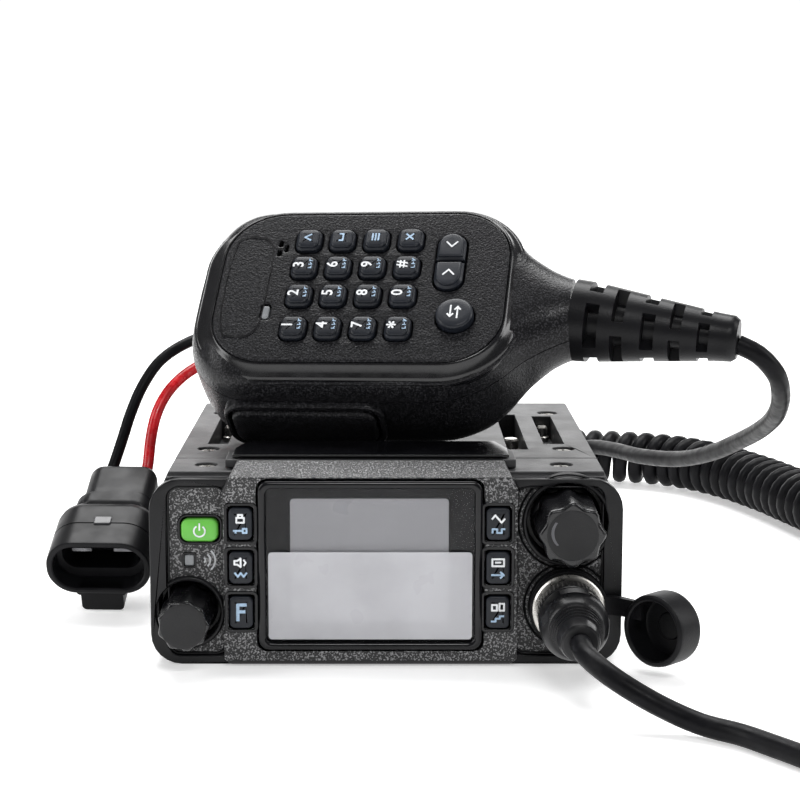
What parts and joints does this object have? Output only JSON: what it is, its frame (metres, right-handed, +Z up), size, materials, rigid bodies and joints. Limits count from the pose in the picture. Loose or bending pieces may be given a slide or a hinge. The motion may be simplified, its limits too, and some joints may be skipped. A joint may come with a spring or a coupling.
{
  "type": "mobile transceiver",
  "caption": "Compact mobile radio with a colour display, two knobs, keys, a keypad hand microphone on a curly cord and a two-wire power lead.",
  "frame": {"origin": "on the underside of the radio, under the middle of its body", "axes": "+X to the right seen from the front, +Y from the front panel to the rear, +Z up"},
  "size_m": [0.2578, 0.3458, 0.1085],
  "materials": {
    "case_paint": "satin black paint",
    "panel_plastic": "leather-grained black plastic",
    "mic_plastic": "fine-grained black plastic",
    "gloss_plastic": "polished black plastic",
    "soft_rubber": "matte black rubber",
    "key_rubber": "satin blue-black key rubber with pale legends",
    "green_key": "translucent green key rubber",
    "lens_glass": "clear display window",
    "display_grey": "silver-grey unlit display",
    "plated_metal": "nickel plate",
    "circuit_board": "green solder mask",
    "black_sheath": "glossy black cable sheath",
    "red_sheath": "glossy red cable sheath"
  },
  "bodies": {
    "radio": {"chassis": "case_paint", "top_cover": "case_paint", "front_collar": "case_paint", "front_panel": "panel_plastic", "display_frame": "gloss_plastic", "display_lens": "lens_glass", "lcd_module": "display_grey", "label_plate": "gloss_plastic", "main_board": "circuit_board", "control_board": "circuit_board", "speaker": "panel_plastic", "volume_pot": "plated_metal", "dial_encoder": "plated_metal", "mic_socket": "plated_metal", "antenna_socket": "plated_metal", "power_gland": "soft_rubber", "mic_plug_body": "panel_plastic", "power_plug": "gloss_plastic", "power_plug_insert": "plated_metal", "power_wire_black": "black_sheath", "power_wire_red": "red_sheath", "mic_cord_tail": "black_sheath", "mic_cord_coil": "black_sheath", "mic_cord_front": "black_sheath"},
    "hand_microphone": {"mic_front_shell": "mic_plastic", "mic_back_shell": "mic_plastic", "mic_boot": "soft_rubber", "mic_board": "circuit_board", "mic_capsule": "plated_metal"},
    "lock_key": {"lock_key": "key_rubber"},
    "monitor_key": {"monitor_key": "key_rubber"},
    "function_key": {"function_key": "key_rubber"},
    "tone_key": {"tone_key": "key_rubber"},
    "memory_key": {"memory_key": "key_rubber"},
    "band_key": {"band_key": "key_rubber"},
    "power_button": {"power_button": "green_key"},
    "volume_knob": {"volume_knob": "soft_rubber"},
    "channel_dial": {"channel_dial": "soft_rubber"},
    "mic_plug_ring": {"mic_plug_ring": "panel_plastic"},
    "dust_cap": {"dust_cap": "soft_rubber"},
    "ptt_bar": {"ptt_bar": "soft_rubber"},
    "mic_key_vfo": {"mic_key_vfo": "key_rubber"},
    "mic_key_call": {"mic_key_call": "key_rubber"},
    "mic_key_menu": {"mic_key_menu": "key_rubber"},
    "mic_key_fun": {"mic_key_fun": "key_rubber"},
    "mic_key_3": {"mic_key_3": "key_rubber"},
    "mic_key_6": {"mic_key_6": "key_rubber"},
    "mic_key_9": {"mic_key_9": "key_rubber"},
    "mic_key_hash": {"mic_key_hash": "key_rubber"},
    "mic_key_2": {"mic_key_2": "key_rubber"},
    "mic_key_5": {"mic_key_5": "key_rubber"},
    "mic_key_8": {"mic_key_8": "key_rubber"},
    "mic_key_0": {"mic_key_0": "key_rubber"},
    "mic_key_1": {"mic_key_1": "key_rubber"},
    "mic_key_4": {"mic_key_4": "key_rubber"},
    "mic_key_7": {"mic_key_7": "key_rubber"},
    "mic_key_star": {"mic_key_star": "key_rubber"},
    "mic_down_key": {"mic_down_key": "key_rubber"},
    "mic_up_key": {"mic_up_key": "key_rubber"},
    "mic_ab_key": {"mic_ab_key": "key_rubber"}
  },
  "joints": [
    {"name": "lock_key_press", "type": "slide", "parent": "radio", "child": "lock_key", "axis": [0, 1, 0], "range_m": [0, 0.0008], "stiffness_N_per_m": 600},
    {"name": "monitor_key_press", "type": "slide", "parent": "radio", "child": "monitor_key", "axis": [0, 1, 0], "range_m": [0, 0.0008], "stiffness_N_per_m": 600},
    {"name": "function_key_press", "type": "slide", "parent": "radio", "child": "function_key", "axis": [0, 1, 0], "range_m": [0, 0.0008], "stiffness_N_per_m": 600},
    {"name": "tone_key_press", "type": "slide", "parent": "radio", "child": "tone_key", "axis": [0, 1, 0], "range_m": [0, 0.0008], "stiffness_N_per_m": 600},
    {"name": "memory_key_press", "type": "slide", "parent": "radio", "child": "memory_key", "axis": [0, 1, 0], "range_m": [0, 0.0008], "stiffness_N_per_m": 600},
    {"name": "band_key_press", "type": "slide", "parent": "radio", "child": "band_key", "axis": [0, 1, 0], "range_m": [0, 0.0008], "stiffness_N_per_m": 600},
    {"name": "power_button_press", "type": "slide", "parent": "radio", "child": "power_button", "axis": [0, 1, 0], "range_m": [0, 0.0008], "stiffness_N_per_m": 600},
    {"name": "volume_turn", "type": "hinge", "parent": "radio", "child": "volume_knob", "pos_m": [-0.0482, -0.06, 0.0128], "axis": [0, 1, 0], "range_deg": [-30, 270]},
    {"name": "channel_turn", "type": "hinge", "parent": "radio", "child": "channel_dial", "pos_m": [0.0439, -0.06, 0.0352], "axis": [0, 1, 0], "continuous": true},
    {"name": "plug_ring_turn", "type": "hinge", "parent": "radio", "child": "mic_plug_ring", "pos_m": [0.0442, -0.065, 0.0144], "axis": [0, 1, 0], "range_deg": [0, 360]},
    {"name": "dust_cap_swing", "type": "hinge", "parent": "radio", "child": "dust_cap", "pos_m": [0.0545, -0.0585, 0.0155], "axis": [0, 0, 1], "range_deg": [-20, 15], "stiffness_Nm_per_rad": 0.02},
    {"name": "microphone_lift", "type": "slide", "parent": "radio", "child": "hand_microphone", "axis": [0, 0, 1], "range_m": [0, 0.03]},
    {"name": "ptt_press", "type": "slide", "parent": "hand_microphone", "child": "ptt_bar", "axis": [0.1214, 0.7017, 0.702], "range_m": [0, 0.0015], "stiffness_N_per_m": 900},
    {"name": "mic_key_vfo_press", "type": "slide", "parent": "hand_microphone", "child": "mic_key_vfo", "axis": [0.1486, 0.6864, -0.7119], "range_m": [0, 0.0008], "stiffness_N_per_m": 600},
    {"name": "mic_key_call_press", "type": "slide", "parent": "hand_microphone", "child": "mic_key_call", "axis": [0.1486, 0.6864, -0.7119], "range_m": [0, 0.0008], "stiffness_N_per_m": 600},
    {"name": "mic_key_menu_press", "type": "slide", "parent": "hand_microphone", "child": "mic_key_menu", "axis": [0.1486, 0.6864, -0.7119], "range_m": [0, 0.0008], "stiffness_N_per_m": 600},
    {"name": "mic_key_fun_press", "type": "slide", "parent": "hand_microphone", "child": "mic_key_fun", "axis": [0.1486, 0.6864, -0.7119], "range_m": [0, 0.0008], "stiffness_N_per_m": 600},
    {"name": "mic_key_3_press", "type": "slide", "parent": "hand_microphone", "child": "mic_key_3", "axis": [0.1486, 0.6864, -0.7119], "range_m": [0, 0.0008], "stiffness_N_per_m": 600},
    {"name": "mic_key_6_press", "type": "slide", "parent": "hand_microphone", "child": "mic_key_6", "axis": [0.1486, 0.6864, -0.7119], "range_m": [0, 0.0008], "stiffness_N_per_m": 600},
    {"name": "mic_key_9_press", "type": "slide", "parent": "hand_microphone", "child": "mic_key_9", "axis": [0.1486, 0.6864, -0.7119], "range_m": [0, 0.0008], "stiffness_N_per_m": 600},
    {"name": "mic_key_hash_press", "type": "slide", "parent": "hand_microphone", "child": "mic_key_hash", "axis": [0.1486, 0.6864, -0.7119], "range_m": [0, 0.0008], "stiffness_N_per_m": 600},
    {"name": "mic_key_2_press", "type": "slide", "parent": "hand_microphone", "child": "mic_key_2", "axis": [0.1486, 0.6864, -0.7119], "range_m": [0, 0.0008], "stiffness_N_per_m": 600},
    {"name": "mic_key_5_press", "type": "slide", "parent": "hand_microphone", "child": "mic_key_5", "axis": [0.1486, 0.6864, -0.7119], "range_m": [0, 0.0008], "stiffness_N_per_m": 600},
    {"name": "mic_key_8_press", "type": "slide", "parent": "hand_microphone", "child": "mic_key_8", "axis": [0.1486, 0.6864, -0.7119], "range_m": [0, 0.0008], "stiffness_N_per_m": 600},
    {"name": "mic_key_0_press", "type": "slide", "parent": "hand_microphone", "child": "mic_key_0", "axis": [0.1486, 0.6864, -0.7119], "range_m": [0, 0.0008], "stiffness_N_per_m": 600},
    {"name": "mic_key_1_press", "type": "slide", "parent": "hand_microphone", "child": "mic_key_1", "axis": [0.1486, 0.6864, -0.7119], "range_m": [0, 0.0008], "stiffness_N_per_m": 600},
    {"name": "mic_key_4_press", "type": "slide", "parent": "hand_microphone", "child": "mic_key_4", "axis": [0.1486, 0.6864, -0.7119], "range_m": [0, 0.0008], "stiffness_N_per_m": 600},
    {"name": "mic_key_7_press", "type": "slide", "parent": "hand_microphone", "child": "mic_key_7", "axis": [0.1486, 0.6864, -0.7119], "range_m": [0, 0.0008], "stiffness_N_per_m": 600},
    {"name": "mic_key_star_press", "type": "slide", "parent": "hand_microphone", "child": "mic_key_star", "axis": [0.1486, 0.6864, -0.7119], "range_m": [0, 0.0008], "stiffness_N_per_m": 600},
    {"name": "mic_down_key_press", "type": "slide", "parent": "hand_microphone", "child": "mic_down_key", "axis": [0.1486, 0.6864, -0.7119], "range_m": [0, 0.0008], "stiffness_N_per_m": 600},
    {"name": "mic_up_key_press", "type": "slide", "parent": "hand_microphone", "child": "mic_up_key", "axis": [0.1486, 0.6864, -0.7119], "range_m": [0, 0.0008], "stiffness_N_per_m": 600},
    {"name": "mic_ab_key_press", "type": "slide", "parent": "hand_microphone", "child": "mic_ab_key", "axis": [0.1486, 0.6864, -0.7119], "range_m": [0, 0.0008], "stiffness_N_per_m": 600}
  ]
}
